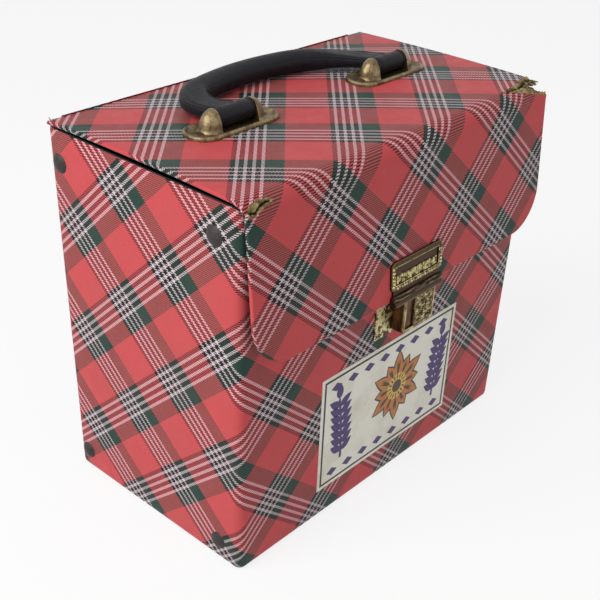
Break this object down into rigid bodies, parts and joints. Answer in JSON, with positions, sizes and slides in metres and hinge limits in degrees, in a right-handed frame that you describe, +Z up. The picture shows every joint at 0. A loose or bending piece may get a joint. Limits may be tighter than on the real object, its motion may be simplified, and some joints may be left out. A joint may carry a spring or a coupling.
{
  "type": "record carrying case",
  "caption": "Upright plaid-covered carrying case for small records, with a hinged lid and front flap, a sliding button lock and a folding handle on top.",
  "frame": {"origin": "centre of the body's underside, on the surface it stands on", "axes": "+X to the right seen from the front, +Y to the back where the lid is hinged, +Z up"},
  "size_m": [0.2222, 0.1378, 0.209],
  "materials": {
    "covered_board": "plaid vinyl-coated cloth over fibreboard, semi-matt",
    "lining_paper": "black paper over board, matt",
    "fold_cloth": "the covering alone, folded",
    "label_paper": "printed, worn",
    "lock_brass": "aged brass plate",
    "dark_rivet": "dark brown lacquer",
    "steel": "dull steel",
    "leather": "black, semi-gloss",
    "core_board": "plain"
  },
  "bodies": {
    "case": {"body_shell": "covered_board", "left_end_stiffener": "lining_paper", "right_end_stiffener": "lining_paper", "body_lining": "lining_paper", "left_end_rivets": "dark_rivet", "right_end_rivets": "dark_rivet", "front_label": "label_paper", "lock_plate": "lock_brass", "lock_case": "lock_brass", "lock_spring": "steel", "lock_rivets": "steel", "lock_backing": "steel", "hinge_fold": "fold_cloth"},
    "lid": {"lid_board": "covered_board", "lid_lining": "lining_paper", "hasp": "lock_brass", "hasp_rivets": "lock_brass", "hasp_backing": "steel", "left_handle_plate": "lock_brass", "right_handle_plate": "lock_brass", "left_handle_pin": "steel", "right_handle_pin": "steel", "left_plate_rivets": "lock_brass", "right_plate_rivets": "lock_brass", "left_handle_backing": "steel", "right_handle_backing": "steel"},
    "handle": {"handle_grip": "leather", "handle_core": "core_board"},
    "lock_button": {"lock_slide": "lock_brass"}
  },
  "joints": [
    {"name": "lid_hinge", "type": "hinge", "parent": "case", "child": "lid", "pos_m": [0, 0.0629, 0.1936], "axis": [-1, 0, 0], "range_deg": [0, 220], "deforming": ["hinge_fold"]},
    {"name": "handle_swing", "type": "hinge", "parent": "lid", "child": "handle", "pos_m": [0.00175, -0.0008, 0.20301], "axis": [1, 0, 0], "range_deg": [0, 178]},
    {"name": "latch_slide", "type": "slide", "parent": "case", "child": "lock_button", "axis": [-1, 0, 0], "range_m": [0, 0.0045], "stiffness_N_per_m": 300, "springref_m": -0.004, "deforming": ["lock_spring"]}
  ]
}
